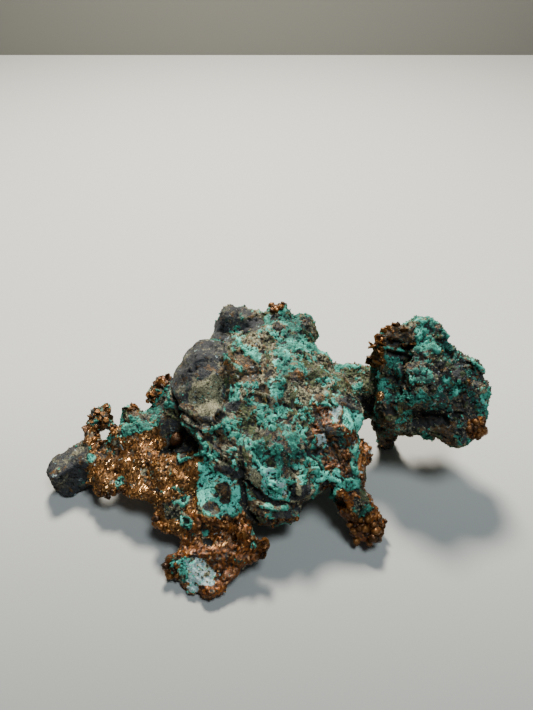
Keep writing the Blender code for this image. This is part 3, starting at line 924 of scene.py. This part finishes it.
def skin_material():
    """One material for all of the skin. Its layers lie over each other from rock to frost."""
    n = Nodes("nugget_skin")
    ragged = (n.noise(1.7, 5.0, 0.75, 3.0) - 0.5) * 0.95
    cavity, tone, warm = n.attribute("cavity"), n.attribute("tone"), n.attribute("warm")

    def shows(name):
        return n.ramp(n.attribute(name) + ragged, 0.44, 0.56)

    brown, copper, green = shows("brown"), shows("copper"), shows("green")
    olive, pale, dark = shows("olive"), shows("pale"), shows("dark")
    rust = n.mix(n.ramp(n.noise(1.8, 3.0, 0.6, 21.0), 0.35, 0.7), BROWN_DARK, OCHRE)
    moss = n.mix(n.ramp(n.noise(1.6, 3.0, 0.6, 33.0), 0.35, 0.7), OLIVE_DARK, OLIVE_LIGHT)
    frost = n.mix(n.ramp(n.noise(1.8, 3.0, 0.6, 41.0), 0.35, 0.65), PALE_BLUE, PALE_WHITE)
    along = n.vector("MULTIPLY", n.turned(FLOW), (0.30, 1.0, 1.0))
    # glint: glossier, more metallic crystals, also painted lighter as painted highlights
    glint = n.ramp(n.cell(GRAIN, place=along), 0.76, 0.84) * n.ramp(warm, 0.3, 0.7, 1.0, 0.3)
    colour = n.mix(brown * 0.88, rock_colour(n, tone), rust)
    colour = n.mix(olive * 0.75, colour, moss)
    # painted shade: the rock darkens to black in the hollows
    colour = n.mix(n.ramp(cavity, 0.50, 0.84) * 0.88, colour, BLACK)
    colour = n.mix(copper, colour, copper_colour(n, along, cavity, glint, warm, tone))
    # painted shade: the dark layer puts black into low spots, pits and cracks
    colour = n.mix(dark * 0.85, colour, BLACK)
    colour = n.mix(green, colour, green_colour(n, cavity, tone))
    n.surface("Base Color", n.mix(pale * 0.85, colour, frost))

    bare = copper * (1.0 - green) * (1.0 - pale)
    metal = n.blend(glint, n.blend(warm, 0.6, 0.45), 0.95)
    n.surface("Metallic", bare * metal)
    polish = n.blend(glint, n.blend(warm, 0.5, 0.40), 0.26)
    n.surface("Roughness", n.blend(bare, n.blend(brown, 0.82, 0.66), polish))
    grain = n.noise(3.2, 4.0, 0.7, 61.0) + n.cell(GRAIN, "Distance") * 0.5
    rough = n.bump(grain, 0.00022, 0.9)
    tipped = n.facets(GRAIN, n.ramp(warm, 0.3, 0.8, 0.6, 0.22), along)
    sparkle = n.bump(n.noise(3.6, 3.0, 0.7, 71.0), 0.00010, 0.7, tipped)
    n.surface("Normal", n.vector("NORMALIZE", n.mix(bare, rough, sparkle, "VECTOR")))
    return n.material


def grain_material(name, dark, light, metallic, rough):
    """One finish for a heap of grains, each with a tone of its own."""
    n = Nodes(name)
    tone = n.attribute("tone") * 0.7 + n.noise(2.5, 3.0, 0.6) * 0.5
    n.surface("Base Color", n.mix(n.ramp(tone, 0.2, 0.9), dark, light))
    n.surface("Metallic", metallic)
    n.surface("Roughness", n.ramp(n.noise(1.7, 2.0, 0.5, 13.0), 0.3, 0.7, *rough))
    n.surface("Normal", n.bump(n.noise(5.0, 3.0, 0.6, 7.0), 0.00012, 0.8))
    return n.material


# ---- pieces
def piece_of(name, points, faces, uvs, material, normals, values):
    """A mesh object from arrays, riding with the nugget."""
    mesh = bpy.data.meshes.new(name)
    mesh.vertices.add(len(points))
    mesh.vertices.foreach_set("co", (points * MM).astype(np.float32).ravel())
    mesh.loops.add(faces.size)
    mesh.loops.foreach_set("vertex_index", faces.astype(np.int32).ravel())
    mesh.polygons.add(len(faces))
    starts = np.arange(0, faces.size, faces.shape[1], dtype=np.int32)
    mesh.polygons.foreach_set("loop_start", starts)
    mesh.update(calc_edges=True)
    layer = mesh.uv_layers.new(name=UV_MAP)
    layer.data.foreach_set("uv", uvs.astype(np.float32).ravel())
    for key, value in values.items():
        attribute = mesh.attributes.new(key, "FLOAT", "POINT")
        attribute.data.foreach_set("value", value.astype(np.float32))
    mesh.polygons.foreach_set("use_smooth", np.full(len(faces), normals is not None))
    if normals is not None:
        mesh.normals_split_custom_set_from_vertices(normals.tolist())
    mesh.materials.append(material)
    mesh.validate()
    obj = bpy.data.objects.new(name, mesh)
    bpy.context.scene.collection.objects.link(obj)
    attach(obj, "root")
    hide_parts(NODE)


def skin_pieces(skin, masks):
    material = skin_material()
    normals = skin.normals()
    for index, name in enumerate(REGIONS):
        mine = skin.region == index
        used, faces = np.unique(skin.quads[mine], return_inverse=True)
        values = {key: value[used] for key, value in masks.items()}
        faces = faces.reshape(-1, 4)
        uvs = skin.uv[mine]
        piece_of("skin_" + name, skin.points[used], faces, uvs, material, normals[used], values)


def template(kind):
    """Points and triangles of a unit grain, and which triangles face up."""
    bm = bmesh.new()
    if kind == "crystal":
        lift = Matrix.Translation((0, 0, 0.3))
        bmesh.ops.create_cone(
            bm, segments=4, radius1=1, radius2=0.25, depth=1, cap_ends=True, matrix=lift
        )
    else:
        bmesh.ops.create_icosphere(bm, subdivisions=2 if kind == "nodule" else 1, radius=1.0)
    if kind == "chip":
        for vert in bm.verts:
            vert.co.z *= 0.3
    bmesh.ops.triangulate(bm, faces=bm.faces[:])
    bm.verts.index_update()
    points = np.array([vert.co[:] for vert in bm.verts])
    faces = np.array([[vert.index for vert in face.verts] for face in bm.faces])
    upward = np.array([face.normal.z > 0 for face in bm.faces])
    bm.free()
    return points, faces, upward


def turns(count, rng):
    """Random rotations, one matrix each."""
    q = rng.normal(size=(count, 4))
    w, x, y, z = (q / length(q)[:, None]).T
    rows = (
        (1 - 2 * (y * y + z * z), 2 * (x * y - z * w), 2 * (x * z + y * w)),
        (2 * (x * y + z * w), 1 - 2 * (x * x + z * z), 2 * (y * z - x * w)),
        (2 * (x * z - y * w), 2 * (y * z + x * w), 1 - 2 * (x * x + y * y)),
    )
    return np.stack([np.stack(row, axis=1) for row in rows], axis=1)


STRETCH = (0.65, 1.25)  # range of a grain's scale along each axis
LOWEST = 0.02  # no grain reaches below this


def heap(name, kind, skin, at, sizes, material, rng, ragged, sunk):
    """Many small grains as one mesh. Each has its own size, turn, shape and tone."""
    places, normals = skin.points[at], skin.normals()[at]
    unit, faces, upward = template(kind)
    count = len(at)
    shape = unit[None] * (1 + rng.uniform(-ragged, ragged, size=(count, len(unit), 1)))
    shape = shape * rng.uniform(*STRETCH, size=(count, 1, 3)) * sizes[:, None, None]
    shape = np.einsum("nvk,njk->nvj", shape, turns(count, rng))
    points = shape + (places + normals * (sizes * (0.5 - sunk))[:, None])[:, None]
    points[..., 2] = np.maximum(points[..., 2], LOWEST)
    all_faces = faces[None] + (np.arange(count) * len(unit))[:, None, None]
    # each grain's top and bottom have a cell of their own in the UV map
    side = int(math.ceil(math.sqrt(count * 2)))
    cell = np.arange(count * 2).reshape(count, 2)[:, np.where(upward, 0, 1)]
    corner = np.stack((cell % side, cell // side), axis=-1)[:, :, None]
    flat = unit[faces][:, :, :2] * 0.42 + 0.5
    uvs = (corner + flat[None] * 0.9 + 0.05) / side
    values = {"tone": np.repeat(rng.uniform(size=count), len(unit))}
    smooth = None
    if kind == "nodule":
        reach = np.linalg.norm(shape, axis=2)[..., None]
        smooth = (shape / np.maximum(reach, 1e-9)).reshape(-1, 3)
    points, all_faces, uvs = points.reshape(-1, 3), all_faces.reshape(-1, 3), uvs.reshape(-1, 2)
    piece_of(name, points, all_faces, uvs, material, smooth, values)


def pick(weight, count, rng):
    """Indices drawn with these weights."""
    count = min(count, int((weight > 0).sum()))
    return rng.choice(len(weight), size=count, replace=False, p=weight / weight.sum())


CRYSTALS, CRUMBS, GRIT = 5000, 3500, 6000
CLEARANCE = 0.4  # grains sit at least this far above the table
GRAIN_SEED, GROWTH_SEED = 7, 11


def grains(skin, masks, rough):
    """Copper crystals, crumbs of crust and rock grit on the surface."""
    rng = np.random.default_rng(GRAIN_SEED)
    convex = smoothstep(0.5, 0.2, masks["cavity"])
    green = smoothstep(0.45, 0.6, masks["green"])
    copper = smoothstep(0.45, 0.6, masks["copper"]) * (1 - green)
    rock = (1 - green) * (1 - copper)
    clear = skin.points[:, 2] > CLEARANCE

    at = pick(copper * (0.25 + convex) * (1 - 0.9 * masks["warm"]) * clear, CRYSTALS, rng)
    sizes = rng.uniform(0.12, 0.30, len(at)) * (0.6 + 0.5 * convex[at])
    metal = grain_material("copper_grain", COPPER_DARK, COPPER_MID, 0.8, (0.3, 0.55))
    heap("copper_crystals", "crystal", skin, at, sizes, metal, rng, ragged=0.3, sunk=0.35)

    at = pick(green * (0.4 + convex) * clear, CRUMBS, rng)
    sizes = rng.uniform(0.10, 0.26, len(at))
    crust = grain_material("green_crumb", GREEN_MID, GREEN_LIGHT, 0.0, (0.75, 0.9))
    heap("green_crumbs", "crumb", skin, at, sizes, crust, rng, ragged=0.35, sunk=0.35)

    rough = smoothstep(0.45, 0.8, rough)
    at = pick(rock * rough * (1 - 0.8 * masks["brown"]) * clear, GRIT, rng)
    sizes = rng.uniform(0.12, 0.30, len(at))
    dirt = grain_material("rock_grit", GRIT_DARK, GRIT_LIGHT, 0.0, (0.7, 0.9))
    heap("rock_grit", "crumb", skin, at, sizes, dirt, rng, ragged=0.35, sunk=0.35)


def growths(skin, photo):
    """Leaves and nodules of copper, in two heaps."""
    rng = np.random.default_rng(GROWTH_SEED)
    metal = grain_material("copper_leaf", LEAF_DARK, LEAF_LIGHT, 0.6, (0.22, 0.45))
    for name, kind in (("copper_leaves", "chip"), ("copper_nodules", "nodule")):
        at, sizes = [], []
        for label, ((count, small, large), *outline) in rows(GROWTHS):
            if label == kind:
                at.append(pick(photo.inside(outline, GROWTH_SOFT), int(count), rng))
                sizes.append(rng.uniform(small, large, len(at[-1])))
        at, sizes = np.concatenate(at), np.concatenate(sizes)
        heap(name, kind, skin, at, sizes, metal, rng, ragged=0.22, sunk=0.25)


def main():
    skin = Skin()
    photo = Photo(skin)
    layers, drawn = paint(skin, photo)
    masks = roughen(skin, layers, drawn)
    skin_pieces(skin, masks)
    grains(skin, masks, layers["rough"])
    growths(skin, photo)


# ---- floor, light, camera
# The table top's colour darkens towards the camera: painted shade, for the light falling off.
FLOOR_PAINTED_SHADE, FLOOR_PALE = (0.20, 0.208, 0.208), (0.54, 0.54, 0.515)
FLOOR_PAINTED_SHADE_AT, FLOOR_PALE_AT = -110.0, 60.0  # along Y, in millimetres
WALL_COLOUR = (0.19, 0.185, 0.165)
MATT = 0.9
ROOM_HALF, WALL_AT, WALL_TOP = 2.0, 0.484, 1.2
LAMPS = (  # name, place, diameter, power and colour
    ("key", (-0.045, 0.315, 0.485), 0.13, 7.6, (1.0, 0.95, 0.84)),
    ("side", (0.13, -0.18, 0.56), 0.18, 2.3, (0.84, 0.95, 1.0)),
)
SKY_COLOUR, SKY_STRENGTH = (0.80, 0.90, 1.0, 1.0), 0.085
SENSOR_MM = 36.0


def plate(n, colour, corners):
    """A square of the room, in the material n."""
    n.surface("Base Color", colour)
    n.surface("Roughness", MATT)
    mesh = bpy.data.meshes.new(n.material.name)
    mesh.from_pydata(corners, [], [(0, 1, 2, 3)])
    mesh.materials.append(n.material)
    piece = bpy.data.objects.new(n.material.name, mesh)
    bpy.context.scene.collection.objects.link(piece)


def stage():
    """A pale table top with painted shade towards the camera, and the wall behind it."""
    half, wall, top = ROOM_HALF, WALL_AT, WALL_TOP
    n = Nodes("floor")
    across = n.add("SeparateXYZ", "Y", {0: n.place})
    # painted shade: the floor colour darkens towards the camera
    colour = n.mix(n.ramp(across, FLOOR_PAINTED_SHADE_AT, FLOOR_PALE_AT), FLOOR_PAINTED_SHADE, FLOOR_PALE)
    plate(n, colour, [(-half, -half, 0), (half, -half, 0), (half, wall, 0), (-half, wall, 0)])
    corners = [(-half, wall, 0), (half, wall, 0), (half, wall, top), (-half, wall, top)]
    plate(Nodes("wall"), WALL_COLOUR, corners)


def lights():
    for name, place, size, power, colour in LAMPS:
        data = bpy.data.lights.new(name, "AREA")
        data.shape, data.size, data.energy, data.color = "DISK", size, power, colour
        lamp = bpy.data.objects.new(name, data)
        lamp.location = place
        lamp.rotation_euler = (-Vector(place)).to_track_quat("-Z", "Y").to_euler()
        bpy.context.scene.collection.objects.link(lamp)
    world = bpy.data.worlds.new("studio")
    world.use_nodes = True
    background = world.node_tree.nodes["Background"].inputs
    background["Color"].default_value = SKY_COLOUR
    background["Strength"].default_value = SKY_STRENGTH
    bpy.context.scene.world = world


def camera():
    data = bpy.data.cameras.new("camera")
    data.sensor_fit = "AUTO"
    data.sensor_width = SENSOR_MM
    data.lens = SENSOR_MM * FOCAL_PX / IMAGE[1]
    data.clip_start, data.clip_end = 0.01, 10.0
    cam = bpy.data.objects.new("camera", data)
    turn = Matrix((RIGHT, UP, -AHEAD)).transposed().to_4x4()
    cam.matrix_world = Matrix.Translation(Vector(EYE) * MM) @ turn
    bpy.context.scene.collection.objects.link(cam)
    bpy.context.scene.camera = cam


camera()
lights()
stage()
main()
